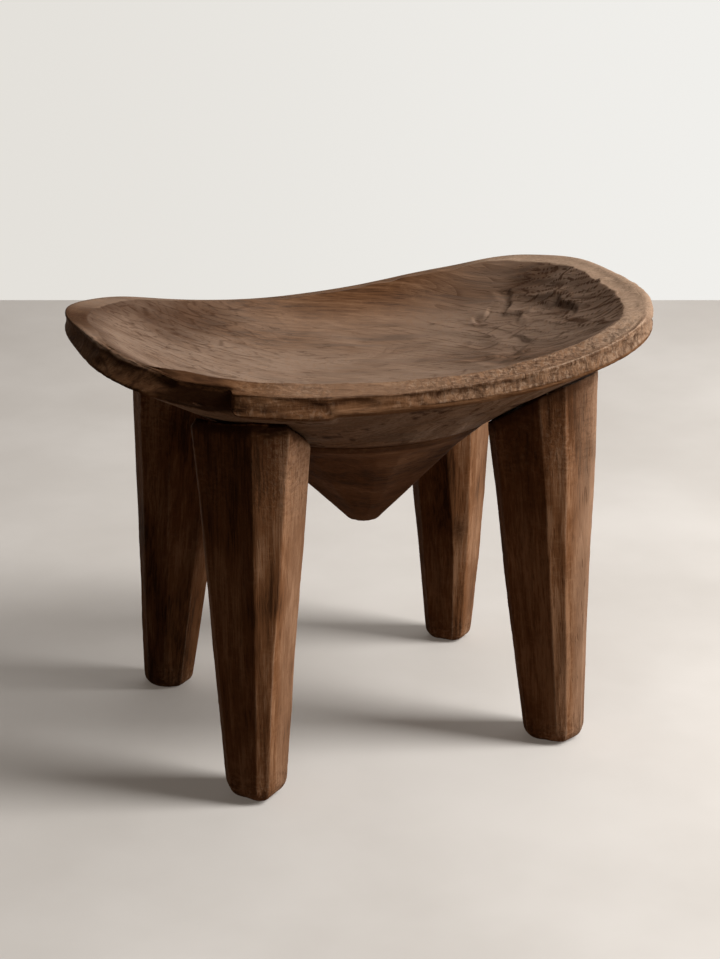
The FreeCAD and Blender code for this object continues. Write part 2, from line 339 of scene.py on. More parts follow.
arris_x, arris_y = seat_ring(turns, 0)
at_right_end = ease(arris_x, 0.205, 0.245)
at_left_end = ease(-arris_x, 0.205, 0.245)
hewn_off = ease(-arris_x / seat_half_length, 0.706, 0.91) * ease(-arris_y / seat_half_depth, -0.6, 0.65)
near_right = ease(arris_x, -0.07, 0.05) * (1 - ease(arris_y, -0.02, 0.06))
low_x, low_y = seat_ring(turns, -rim_face_flare)
taller = np.where(low_x > 0, 0.0062, 0.0012) * np.abs(low_x / seat_half_length) ** 4
low_drawn_in = low_x - 0.001 * at_right_end + 0.0014 * at_left_end
low = stack(low_drawn_in, low_y, rim_height(low_x) - rim_face_height - taller)
keel_share = oval_radius(low_x, low_y, keel_half_length, keel_half_depth, keel_squareness)
crease = stack(low_x / keel_share, low_y / keel_share, seam_height)
centre = stack(0 * lap, 0 * lap, seam_height)


def band_point(share):
    """A point on the band at a share of its width inwards from the arris, where it stands higher."""
    x, y = seat_ring(turns, share * rim_band_width)
    uneven = 0.0011 * drift(lap * 34, 0, 61) + 0.0006 * drift(lap * 90, 0, 62)
    steep = 1 + 0.9 * near_right * (1 - at_right_end)
    return x, y, rim_height(x) + rim_band_rise * steep * share + uneven * np.minimum(share, 1)


outer_share, inner_share = np.zeros(columns), np.full(columns, 1.8)
for _ in range(40):
    middle = 0.5 * (outer_share + inner_share)
    band_x, band_y, band_z = band_point(middle)
    dish_is_higher = dish_height(band_x, band_y) > band_z
    outer_share = np.where(dish_is_higher, middle, outer_share)
    inner_share = np.where(dish_is_higher, inner_share, middle)
inner = stack(*band_point(outer_share))
arris = stack(*band_point(0.85 * hewn_off * outer_share))
arris[:, 0] += 0.0023 * at_right_end - 0.0012 * at_left_end * (1 - hewn_off)
print("band width in mm", (1000 * rim_band_width * outer_share[::columns // 4]).round(1))

# %% [markdown]
# The seat's skin runs from the middle of the dish over the rim and back to the middle of the seam below,
# with short curves at its corners. At the near left most of the band is hewn off, so one steep face falls
# from the arris to the lower edge. At the right end the arris is worn round.

# %% Rings of the seat
arris_round = 0.0014 + 0.0062 * at_right_end + 0.0006 * drift(lap * 18, 0, 71)
low_round = 0.0018 + 0.0009 * drift(lap * 14, 0, 72)
crease_round = 0.0022
arris_in, arris_out = towards(arris, inner, arris_round), towards(arris, low, arris_round)
low_in, low_out = towards(low, arris, low_round), towards(low, crease, low_round)
crease_out, crease_in = towards(crease, low, crease_round), towards(crease, centre, crease_round)

reaches = np.concatenate([np.linspace(0, 0.35, 12, endpoint=False), np.linspace(0.35, 1, 84, endpoint=False)])
dish_x, dish_y = reaches[:, None] * inner[:, 0], reaches[:, None] * inner[:, 1]
sections = [
    ("dish", stack(dish_x, dish_y, dish_height(dish_x, dish_y))),
    ("band", line(inner, arris_in, np.arange(8) / 8)),
    ("arris", bend(arris_in, arris, arris_out, 7)),
    ("face", line(arris_out, low_in, inside(10))),
    ("edge", bend(low_in, low, low_out, 6)),
    ("under", line(low_out, crease_out, inside(22))),
    ("crease", bend(crease_out, crease, crease_in, 4)),
    ("seam", line(crease_in, centre, np.linspace(0, 1, 6)[1:])),
]
section = np.concatenate([np.full(len(rows), name) for name, rows in sections])
share = np.concatenate([np.linspace(0, 1, len(rows)) for name, rows in sections])[:, None]
seat_rows = np.concatenate([rows for name, rows in sections])
print("rings", seat_rows.shape)

# %% [markdown]
# The rim is hewn too: broad chops on the face, shallower ones on the band and below, and fine pits and
# dents. Each is cut along the way the surface faces, so a ring needs to know how much it faces up and out.
# The three coordinates are views of the rings, so cutting them cuts the rings.

# %% Chops on the rim
seat_x, seat_y, seat_z = np.moveaxis(seat_rows, -1, 0)

# 1 on the rings of a section and 0 elsewhere
on_dish, on_band, on_arris, on_face, on_edge, on_under, on_crease, _ = (
    (section == name).astype(float)[:, None] for name, rows in sections
)
on_top = on_band + on_arris
on_rim = on_top + on_face
on_side = on_rim + on_edge
arch = np.sin(np.pi * share)

# How much a section faces up at its first and last ring, and then how much it faces out
facing = {
    "band": (1, 1, 0, 0.1), "arris": (1, 0.2, 0.2, 1), "face": (0, 0, 1, 1), "edge": (-0.1, -0.6, 1, 0.7),
    "under": (-0.7, -0.9, 0.6, 0.2),
}
ends = np.array([facing.get(name, (0, 0, 0, 0)) for name in section])
first_up, last_up, first_out, last_out = ends.T[..., None]
up_share = first_up * (1 - share) + last_up * share
out_share = first_out * (1 - share) + last_out * share
out = np.array([
    np.sign(v) * np.abs(v / half) ** (seat_squareness - 1) / half
    for v, half in ((arris_x, seat_half_length), (arris_y, seat_half_depth))
])
out_x, out_y = out / np.hypot(*out)

band_cuts = cuts(lap * 38, 0.15 + 0.7 * share, 81, 0.7, 1.6, around=38)[0]
face_cuts, face_lead = cuts(lap * 29, 0.15 + 0.7 * share, 83, 0.8, 2, around=29)
under_cuts, under_lead = cuts(lap * 24, 0.2 + 2.6 * share, 85, 0.8, 1.5, around=24)
pits = np.clip(drift(lap * 330, share * 5 + 40 * up_share, 91), 0, 1)
dents = drift(lap * 130, share * 2.4 + 30 * up_share, 92)
dents = dents + 0.6 * drift(lap * 260, share * 4 + 30 * up_share, 93)
near_rim = 1 - ease(arris_y, -0.06, 0.02)
near_side = (arris_y < -0.05).astype(float)
lip_depth = 0.0032
lip = between(arris_x, -0.162, -0.158, -0.084, -0.074) * near_side
lip_drop = lip * (on_face * share + on_edge + on_under * (1 - ease(share, 0, 0.3)))

depth = (
    0.001 * band_cuts * on_band * (1 - ease(share, 0.6, 1))
    + 0.0024 * face_cuts * on_face * arch ** 0.5
    + 0.0016 * under_cuts * on_under * arch
    + 0.0007 * pits * near_right * on_rim
    + 0.0007 * np.clip(dents, -0.3, 1.2) * near_rim * on_side
)
seat_x -= depth * out_share * out_x
seat_y -= depth * out_share * out_y
seat_z -= depth * up_share + lip_depth * lip_drop
print("deepest chop in mm", (1000 * depth.max()).round(1))

# %% [markdown]
# One deep chop at the front left is an upright flat that stops short with a step. A Boolean would cut it,
# but moving what stands out onto the flat keeps the rings whole. The far rim sags left of its middle, stands
# up elsewhere and is rounder at the right corner.

# %% The deep chop and the uneven rim
chop_start, chop_stop, chop_depth = -0.87 * seat_half_length, -0.635 * seat_half_length, 0.009
near_left = slice(2 * quarter, 3 * quarter)
start_y, stop_y = np.interp([chop_start, chop_stop], fine_x[near_left], fine_y[near_left])
chop_from, chop_to = np.array([(chop_start, start_y), (chop_stop, stop_y + chop_depth)])
flat_x, flat_y = (chop_to - chop_from)[::-1] * (1, -1) / np.linalg.norm(chop_to - chop_from)
stands_out = (seat_x - chop_to[0]) * flat_x + (seat_y - chop_to[1]) * flat_y
chopped = np.maximum(stands_out, 0) * (arris_x < chop_stop) * near_side * (on_side + on_under)
seat_x -= chopped * flat_x
seat_y -= chopped * flat_y

# Hills along the far rim: the height, middle and width of each
far_hills = [(-0.0041, -0.055, 0.09), (0.003, 0.125, 0.055), (0.0026, -0.185, 0.04), (0.0032, 0.195, 0.036)]
sag = sum(height * hump(arris_x, middle, width) for height, middle, width in far_hills)
far_side = ease(arris_y, 0, 0.1)
held = on_dish * ease(share, 0.7, 1) + on_side + on_under * (1 - share)
rounder = 0.0042 * ease(arris_x, 0.165, 0.24) * ease(arris_y, -0.03, 0.05)
crest = on_dish * ease(share, 0.8, 1) + on_band * (1 - share)
lifted = 0.0042 * between(arris_x, -0.24, -0.205, -0.13, 0.06) * near_rim
seat_z += held * sag * far_side
seat_z += crest * lifted
seat_x -= held * rounder * out_x
seat_y -= held * rounder * out_y
print("deepest sag in mm", round(1000 * sag.min(), 1))

# %% [markdown]
# What the finish needs to know is painted on the vertices, by formulas rather than by hand so that it can be
# changed. First comes wear: the stain is rubbed off along the arris, at the right end and under the seat,
# where the paler colour also paints bounce light from the floor, and a thin pale line on the near right arris
# is partly a painted highlight.

# %% Where the seat is worn
worn_lap = ease(drift(lap * 26, 0, 95), -0.5, 0.7)
pale_end = ease(arris_x, 0.13, 0.22)
worn_line_and_highlight = between(arris_x, 0.145, 0.165, 0.215, 0.235) * near_side
brown_band = on_top * between(arris_x, -0.238, -0.215, -0.155, -0.105) * near_rim
wear_and_painted_light = on_arris * arch ** 2 * (0.2 + 0.8 * worn_lap)
wear_and_painted_light = np.maximum(wear_and_painted_light, on_arris * 0.75 * at_right_end)
wear_and_painted_light = wear_and_painted_light + on_band * (0.22 + 0.5 * pale_end) + on_face * (0.38 * near_right + 0.22 * pale_end)
# Under the seat the paler wear is partly painted bounce light from the floor
wear_and_painted_light = wear_and_painted_light + 0.42 * on_under
# A thin pale line on the near right arris: wear and a painted highlight
wear_and_painted_light = np.maximum(wear_and_painted_light, 1.3 * on_arris * arch ** 4 * worn_line_and_highlight)
wear_and_painted_light = wear_and_painted_light * (1 - hewn_off * on_face) * (1 - 0.6 * brown_band)
print("mean wear on the arris", wear_and_painted_light[section == "arris"].mean().round(2))

# %% [markdown]
# Soot and painted shade sit in the hollows: painted shade between the gouge strokes and along the ridges of
# the cuts, in the chops and in dents, and soot in the gouges under the seat and around the left tip. Dust is
# the grey that use leaves on the top, thin on the warm far side; on the dish it also paints a sheen, and under
# the seat bounce light.

# %% Where the seat is sooty or dusty
hollow_shade, ridge_shade = dish_marks(seat_x, seat_y)[1:]
leftness = 1 - ease(seat_x, -0.17, -0.03)
warm = hump(seat_x, 0.06, 0.13) * hump(seat_y, 0.15, 0.055)
far_left = on_dish * hump(seat_x, -0.14, 0.07) * hump(seat_y, 0.12, 0.05)
far_end = 0.9 * (1 - ease(arris_x, -0.2, -0.1)) * (1 - near_rim)
darkest = 1 - ease(arris_x, -0.182, -0.162)
dark_left = hewn_off * on_face * (0.38 + 0.3 * drift(lap * 60, share * 3, 97))
dark_tip = on_top * hump(arris_y, 0.055, 0.045) * (arris_x < -0.2)
ragged_share = share + 0.02 * drift(lap * 70, 0, 98)
tip_margin = on_dish * ease(ragged_share, 0.86, 1) * (1 - ease(arris_x, -0.235, -0.185))
gouge = drift(lap * 95, 9 * share, 99) + 0.5 * drift(lap * 190, 19 * share, 100)
# Painted shade in the deep chop
chop_shade = np.clip(chopped / chop_depth, 0, 1) * (on_face * ease(share, 0.04, 0.2) + on_edge + on_under)

# Soot and painted shade: the hollows, ridges, dents, chop edges and the deep chop get painted shade; the rest
# darkens the stain, the hewn near-left face and the seam joint
soot_and_shade = (
    on_dish * (0.6 * hollow_shade + 0.95 * ridge_shade * (1 - 0.4 * leftness) + 0.3 * warm + 0.29 * leftness)
    + on_dish * (0.19 * ease(seat_x, 0.06, 0.14) + 0.14 * ease(seat_x, 0.165, 0.2))
    + 0.34 * far_left + 0.44 * tip_margin + 0.62 * dark_tip + 0.25 * far_end * on_top
    + (0.36 + 0.28 * darkest) * brown_band + 0.3 * near_rim * ease(dents, 0.2, 0.9) * on_rim
    + on_face * (0.5 * (1 - ease(face_lead, 0.02, 0.16)) + 0.2 * face_cuts) + dark_left + 1.1 * chop_shade
    + on_under * (0.3 * (1 - ease(under_lead, 0.02, 0.16)) + 0.8 * ease(gouge, 0.45, 0.85))
    + 0.35 * on_crease
)
greyed = 0.35 + 0.4 * pale_end + 0.3 * hewn_off + far_end
# Dust on the dish is partly a painted sheen, and under the seat partly painted bounce light
dust = on_dish * (1 - 1.1 * warm) * (1.2 + 0.25 * leftness) + 0.62 * on_under
dust = dust + on_top * greyed * (1 - brown_band - dark_tip)
print("mean soot in the dish", soot_and_shade[section == "dish"].mean().round(2))

# %% [markdown]
# The near right rim and the lip by the chop are crumbled rough. Fine strokes cover the dish, fewest on its
# warm far side, and the underside. Grain and strokes are coordinates turned to the way they run, so that the
# finish can stretch its noise along them.

# %% The seat's grain, strokes and mesh
def turned(x, y, angle):
    """Coordinates turned to the left by an angle."""
    return x * np.cos(angle) - y * np.sin(angle), x * np.sin(angle) + y * np.cos(angle)


rough = near_right * (1 - at_right_end) * on_rim + 0.4 * lip * on_side
tooled = on_dish * (0.35 + 0.5 * leftness + 0.6 * ease(seat_x, 0.04, 0.13)) * (1 - 0.75 * np.minimum(warm, 1))
tooled = tooled + 0.9 * on_under
grain_turn = (on_dish + on_band) * (0.28 + 0.22 * (1 - ease(seat_x, -0.2, 0)))
grain_turn = grain_turn + on_dish * 0.25 * ease(seat_x, 0.06, 0.2)
stroke_turn = 0.5 + 0.5 * ease(seat_x, -0.05, 0.15)
seat = close_skin("stool_seat", seat_rows, {
    "grain": stack(*turned(seat_x + 0.1, seat_y, grain_turn), seat_z),
    "stroke": stack(*turned(seat_x, seat_y, stroke_turn), seat_z),
    "wear_and_painted_light": wear_and_painted_light, "soot_and_shade": soot_and_shade, "dust": dust, "rough": rough, "tooled": tooled,
})

# %% [markdown]
# The keel block is a cone hewn with slanting flats. Its sides are the smallest of an oval and of several
# flat planes at each bearing, as a soft minimum, so that the ridges between flats are a little rounded. A
# cut cone primitive would have sharp ones.

# %% The keel block
keel_tip_height, keel_tip_half_length, keel_tip_half_depth, keel_lean = 0.1925, 0.0125, 0.012, 0.0045
keel_columns, keel_sharpness = 288, 170


def soft_corner(bearing, distances, directions, sharpness):
    """Reach of a post at a bearing: the soft minimum over its flats of distance / cos(bearing - direction).
    Distances are counted in the smallest one, so that the high powers stay in range."""
    smallest = np.minimum.reduce(np.broadcast_arrays(*distances))
    total = 0
    for distance, direction in zip(distances, directions):
        total = total + (np.maximum(np.cos(bearing - direction), 1e-6) * smallest / distance) ** sharpness
    return smallest * total ** (-1 / sharpness)


bearings = np.arange(keel_columns) / keel_columns * 2 * np.pi
fall = np.concatenate([np.linspace(0, 0.9, 62), np.linspace(0.9, 1, 8)[1:]])[:, None]
half_length = keel_half_length + (keel_tip_half_length - keel_half_length) * fall
half_depth = keel_half_depth + (keel_tip_half_depth - keel_half_depth) * fall


def oval_reach(bearing):
    """Reach of the keel's oval at a bearing, ring by ring."""
    return 1 / oval_radius(np.cos(bearing), np.sin(bearing), half_length, half_depth, keel_squareness)


distances, directions = [], []
for index, facing_way in enumerate(np.radians([14, 58, 97, 141, 180, 216, 247, 284, 322])):
    flat_share = 0.942 + 0.03 * dice(index, 2, 7)
    distances.append(oval_reach(facing_way) * (1.03 + (flat_share - 1.03) * ease(fall, 0, 0.16)))
    directions.append(facing_way + 0.3 * (dice(index, 1, 7) - 0.5) * (fall - 0.4))
reach = np.minimum(soft_corner(bearings, distances, directions, keel_sharpness), oval_reach(bearings))
strokes = cuts(bearings / (2 * np.pi) * 21, fall * 4.2, 33, 0.8, 1.5, around=21)[0]
reach = reach - 0.0008 * strokes * ease(fall, 0, 0.08)
side_z = seam_height + (keel_tip_height - seam_height) * fall
side = stack(keel_lean * fall + reach * np.cos(bearings), reach * np.sin(bearings), side_z)
print("keel rings", side.shape)

# %% [markdown]
# The keel's rings run from the middle of the seam, round its edge, down the side and round the blunt tip.
# Soot darkens the line of the seam.

# %% The keel's rings, paint and mesh
keel_edge_round, seam_ring, tip_ring = 0.0018, 9, 65
keel_top = stack(0 * bearings, 0 * bearings, seam_height)
tip = stack(keel_lean + 0 * bearings, 0 * bearings, keel_tip_height)
edge_in = towards(side[0], keel_top, keel_edge_round)
keel_rows = np.concatenate([
    line(keel_top, edge_in, np.arange(6) / 6),
    bend(edge_in, side[0], side[2], 5),
    side[3:tip_ring],
    bend(side[tip_ring], side[-1], tip, 14),
])
keel_grain = keel_rows + (0.7, 0.3, 0)
near_seam = (np.abs(np.arange(len(keel_rows)) - seam_ring) < 4)[:, None]
keel = close_skin("stool_keel", keel_rows, {
    "grain": keel_grain, "stroke": keel_grain, "wear_and_painted_light": 0, "soot_and_shade": 0.16 + 0.5 * near_seam, "dust": 0.3,
    "rough": 0, "tooled": 0.3,
})

# %% [markdown]
# A leg is a tapered post of flat facets, drawn down with long strokes. Its top is scribed to the slope under
# the seat, with a tenon that goes up into it, and its foot is rounded. The facets turn at a knee.

# %% Measures of the legs
leg_top_width, tenon_radius, tenon_length, tenon_chamfer = 0.099, 0.0178, 0.0195, 0.001
knee_share, leg_gap, eased_height = 0.3, 0.0004, 0.0095
Leg = namedtuple("Leg", "top foot foot_width foot_round eased dust knots facets")
inner_facets = [(45, 1, 1), (90, 1, 1), (135, 1, 1)]

# For each leg: its top, its foot, the foot's width and rounding, how much its shoulder is eased, which also
# deepens the painted shade under the seat on its top, and how much grey sheen is painted on its right side,
# which faces the lamp. Then its knots and dents: place and radius. Then its facets: the direction that each
# faces and its distance as a share of half the leg's width, up to the knee and at the top.
legs = {
    "front_left": Leg(
        (-0.131, -0.099), (-0.141, -0.13), 0.049, 0.014, 0.005, 0.45,
        [(-0.109, -0.145, 0.305, 0.003), (-0.176, -0.125, 0.318, 0.006)],
        [(0, 1.04, 1.03), *inner_facets, (176, 1.02, 1.07), (222, 0.89, 0.65), (256, 1.05, 0.75),
         (312, 0.92, 1)],
    ),
    "front_right": Leg(
        (0.132, -0.099), (0.151, -0.115), 0.052, 0.012, 0.0005, 0.95,
        [(0.118, -0.15, 0.322, 0.005)],
        [(2, 1.08, 1.06), *inner_facets, (178, 1.07, 1.04), (223, 0.78, 0.79), (256, 0.88, 0.8),
         (292, 0.86, 0.85), (324, 0.97, 1.02)],
    ),
    "back_left": Leg(
        (-0.131, 0.099), (-0.156, 0.118), 0.043, 0.008, 0.0006, 0,
        [(-0.15, 0.07, 0.12, 0.006)],
        [(0, 1, 1), *inner_facets[:2], (135, 1.03, 1.03), (180, 1.02, 1.03), (224, 1, 1.04), (262, 1, 1),
         (312, 1, 1)],
    ),
    "back_right": Leg(
        (0.128, 0.099), (0.141, 0.127), 0.042, 0.009, 0.0006, 0.35,
        [(0.134, 0.083, 0.131, 0.009), (0.126, 0.08, 0.112, 0.01)],
        [(0, 1.02, 0.86), *inner_facets, (180, 1.03, 1.07), (224, 0.84, 1.1), (262, 0.99, 0.93),
         (312, 0.93, 0.79)],
    ),
}
leg_columns = 200
leg_turns = (np.arange(leg_columns) / leg_columns * 2 * np.pi)[None, :]
print("legs", list(legs))

# %% [markdown]
# At each height the facets are planes whose distances wander a little, so the arrises between them waver as
# hewn ones do. A bevelled box would have straight ones. Near the floor the corners are softer.

# %% The post of a leg
def leg_centre(leg, z):
    """Centre of a leg at a height, on the straight line from its foot to its top."""
    share = z / rim_mid_height
    return [foot + (top - foot) * share for foot, top in zip(leg.foot, leg.top)]


def leg_ring(leg, reach, z):
    """Ring about a leg's centre at a height: round, as its tenon is, if the reach is the same all round."""
    centre_x, centre_y = leg_centre(leg, z)
    return stack(centre_x + reach * np.cos(leg_turns), centre_y + reach * np.sin(leg_turns), z)


def leg_flats(leg, z, seed):
    """Reach of a leg's facets at a height, and how near an arris is, from 0 to 1."""
    share = z / rim_mid_height
    half_width = 0.5 * (leg.foot_width + (leg_top_width - leg.foot_width) * share)
    above_knee = np.clip((share - knee_share) / (1 - knee_share), 0, 1)
    distances, directions = [], []
    for index, (degrees, low_share, high_share) in enumerate(leg.facets):
        wander = 0.014 * drift(z / 0.11 + 9 * index, index, seed)
        wander = wander + 0.006 * drift(z / 0.03 + 5 * index, index, seed + 2)
        own_share = low_share + (high_share - low_share) * above_knee
        distances.append(half_width * (own_share - 0.008 + wander))
        directions.append(math.radians(degrees) + 0.05 * drift(z / 0.13, index, seed + 5))
    reach = soft_corner(leg_turns, distances, directions, 14 + 166 * ease(z, 0, 0.035))
    reaches = [d / np.maximum(np.cos(leg_turns - f), 1e-3) for d, f in zip(distances, directions)]
    nearest, second = np.sort(np.stack(np.broadcast_arrays(*reaches)), axis=0)[:2]
    return reach, 1 - ease(second / nearest - 1, 0, 0.05)


def leg_point(leg, z, seed, inset=0):
    """Ring on a leg's side at a height: the reach of its facets, less the drawn strokes and an inset."""
    wavy = z / 0.075 + 0.3 * drift(leg_turns * 3, z / 0.1, seed)
    drawn = cuts(leg_turns / (2 * np.pi) * 17, wavy, seed, 0.8, 1, around=17)[0]
    ripple = drift(leg_turns * 5, z / 0.0055 + 2 * drift(leg_turns * 4, z / 0.03, seed), seed + 3)
    ripple = ripple * ease(drift(leg_turns * 2, z / 0.07, seed + 4), -0.2, 0.3)
    return leg_ring(leg, leg_flats(leg, z, seed)[0] - 0.0007 * drawn - 0.00016 * ripple - inset, z)


print("a point at mid height", leg_point(legs["front_left"], 0.18, 3)[0, 0].round(3))

# %% [markdown]
# The shoulder is found by asking the underside for its height where the leg's side is, moving the side
# there, and asking again. A Boolean cut with the seat would leave no even rings to paint on.

# %% Build the legs
hidden_rings = 11


def settle(place, z):
    """Height where a ring, placed by its height, meets the underside less the gap, asked until it holds."""
    for _ in range(8):
        ring = place(z)
        z = underside(ring[..., 0], ring[..., 1]) - leg_gap
    return z


def leg_rows(leg, seed):
    """Rings from the tenon's end over the shoulder, the side and the foot, and the shoulder's heights."""
    z = settle(lambda height: leg_point(leg, height, seed), 0.34)
    shoulder = leg_point(leg, z, seed)[0]
    root_z = settle(lambda height: leg_ring(leg, tenon_radius, height), 0.33)
    root = leg_ring(leg, tenon_radius, root_z)[0]
    end_z = float(root_z.mean()) + tenon_length
    tenon_side = leg_ring(leg, tenon_radius, end_z - tenon_chamfer)
    across = line(root, shoulder, inside(5))
    across[..., 2] = underside(across[..., 0], across[..., 1]) - leg_gap
    fall = np.concatenate([np.linspace(0, 0.06, 7), np.linspace(0.06, 1, 108)[1:]])[:, None]
    side_z = z + (leg.foot_round - z) * fall
    eased = leg.eased * (1 - ease(z - side_z, 0, eased_height)) ** 2
    side = leg_point(leg, side_z, seed, eased)
    quarter = np.linspace(0, np.pi / 2, 9)[1:, None]
    sole_z = leg.foot_round * (1 - np.sin(quarter)) + 0 * leg_turns
    sole = leg_point(leg, sole_z, seed, leg.foot_round * (1 - np.cos(quarter)))
    rows = np.concatenate([
        leg_ring(leg, 0, end_z), leg_ring(leg, tenon_radius - tenon_chamfer, end_z), tenon_side,
        line(tenon_side[0], root, inside(2)), root[None], across, side, sole,
        line(sole[-1], leg_ring(leg, 0, 0)[0], [0.5, 1]),
    ])
    return rows, z


def leg_paint(leg, seed, rows, shoulder_z):
    """A leg's paint: painted shade under the shoulder, soot in blotches and on knots, wear on the arrises and
    the foot, and a painted grey sheen on the side facing the lamp.
    """
    x, y, z = np.moveaxis(rows, -1, 0)
    centre_x, centre_y = leg_centre(leg, z)
    grain = stack(z + seed, x - centre_x + 0.1 * seed, y - centre_y)
    seen = 1 - (np.arange(len(rows)) < hidden_rings)[:, None]
    # Painted shade of the seat on the top of the leg, below the shoulder, with a ragged edge
    ragged = 0.003 * drift(leg_turns * 6, 0, seed + 9)
    shade_below_seat = ease(z, shoulder_z - 0.013 + ragged, shoulder_z - 0.005 + ragged) * seen
    edge = leg_flats(leg, z, seed)[1] * seen
    rubbed = edge * ease(drift(leg_turns * 2, z / 0.045, seed + 6), -0.5, 0.6)
    blotch = ease(drift(leg_turns * 1.6, z / 0.08, seed + 7), -0.1, 0.8)
    blotch = blotch + 0.6 * ease(drift(leg_turns * 5, z / 0.035, seed + 8), 0.1, 0.9)
    soot_and_shade = (0.4 + 120 * leg.eased) * shade_below_seat + 0.34 * blotch * seen
    for knot_x, knot_y, knot_z, radius in leg.knots:
        away = np.hypot(np.hypot(x - knot_x, y - knot_y), 0.6 * (z - knot_z))
        soot_and_shade = soot_and_shade + 0.9 * hump(away, 0, radius)
    wear_and_painted_light = 0.22 * (1 - ease(z, 0, 0.05)) + 0.5 * rubbed
    # A painted grey sheen on the side turned to the lamp
    dust = leg.dust * ease(np.cos(leg_turns - math.radians(345)), 0.45, 0.95)
    scuffed = 0.7 * (1 - ease(z, 0.006, 0.04)) + 0.55 * ease(z, 0.235, 0.3) * seen
    return {"grain": grain, "stroke": grain, "wear_and_painted_light": wear_and_painted_light, "soot_and_shade": soot_and_shade, "dust": dust, "rough": scuffed,
            "tooled": 0.2}


leg_pieces = {}
for index, (name, leg) in enumerate(legs.items()):
    seed = 3 + 4 * index
    rows, shoulder_z = leg_rows(leg, seed)
    leg_pieces[name] = close_skin("stool_leg_" + name, rows, leg_paint(leg, seed, rows, shoulder_z))
    print("  shoulder from", shoulder_z.min().round(4), "to", shoulder_z.max().round(4))

# %% [markdown]
# Finishes are written as sums. A small class wraps one socket of a material, so that the usual signs add
# Math nodes, and one method adds any other node. The editor could wire the same tree, but this way a recipe
# reads as the layers of stain that it stands for.

# %% Sums that become nodes
class Tone:
    """One socket of a material. Arithmetic on it adds Math nodes, and make() adds any other node."""

    def __init__(self, tree, socket=None):
        self.tree = tree
        self.socket = socket

    def feed(self, node, inputs):
        """Gives sockets of a node their values or links."""
        for name, value in inputs.items():
            if isinstance(value, Tone):
                self.tree.links.new(value.socket, node.inputs[name])
            else:
                node.inputs[name].default_value = value

    def make(self, kind, settings, inputs, output=0):
        """A new node of a kind: its settings first, then the values or links of its sockets."""
        node = self.tree.nodes.new(kind)
        for name, value in settings.items():
            setattr(node, name, value)
        self.feed(node, inputs)
        return Tone(self.tree, node.outputs[output])

    def sign(self, operation, first, second):
        """A Math node of two values."""
        return self.make("ShaderNodeMath", {"operation": operation}, {0: first, 1: second})

    def __add__(self, other):
        return self.sign("ADD", self, other)

    def __sub__(self, other):
        return self.sign("SUBTRACT", self, other)

    def __rsub__(self, other):
        return self.sign("SUBTRACT", other, self)

    def __mul__(self, other):
        return self.sign("MULTIPLY", self, other)

    __radd__ = __add__
    __rmul__ = __mul__

    def step(self, low, high):
        """0 below low, 1 above high, smooth between them."""
        settings = {"interpolation_type": "SMOOTHSTEP"}
        return self.make("ShaderNodeMapRange", settings, {0: self, 1: low, 2: high, 3: 0, 4: 1})

    def mix(self, colour, other):
        """From a colour to another one, by this value."""
        return self.make("ShaderNodeMix", {"data_type": "RGBA"}, {0: self, 6: colour, 7: other}, 2)

    def attribute(self, name, output=2):
        """A value painted on the vertices, or with output 1 a vector."""
        return self.make("ShaderNodeAttribute", {"attribute_name": name}, {}, output)

    def noise(self, vector, scales, detail, roughness, distortion=0):
        """Cloudy noise about 0.5, with so many clouds to a unit along each part of a vector."""
        scaled = self.make("ShaderNodeVectorMath", {"operation": "MULTIPLY"}, {0: vector, 1: scales})
        inputs = {"Vector": scaled, "Scale": 1, "Detail": detail, "Roughness": roughness}
        return self.make("ShaderNodeTexNoise", {}, {**inputs, "Distortion": distortion})


def new_finish(name):
    """An empty material, its tree as a Tone, and its shader."""
    material = bpy.data.materials.new(name)
    material.use_nodes = True
    return material, Tone(material.node_tree), material.node_tree.nodes["Principled BSDF"]


print("nodes are ready")

# %% [markdown]
# Stained wood shows streaks along the grain, dark pores, patches where the stain took more or less, pale wood
# where edges are rubbed, which also carries painted highlight and bounce light, soot and painted shade in the
# hollows, and a grey bloom on the top that also paints a sheen. Each is one layer. The fine tool strokes are
# terraces: a smooth swell is cut into steps, each with a painted shade along its edge. An image would show one
# stool only; noise stretched along the painted grain fits every piece.

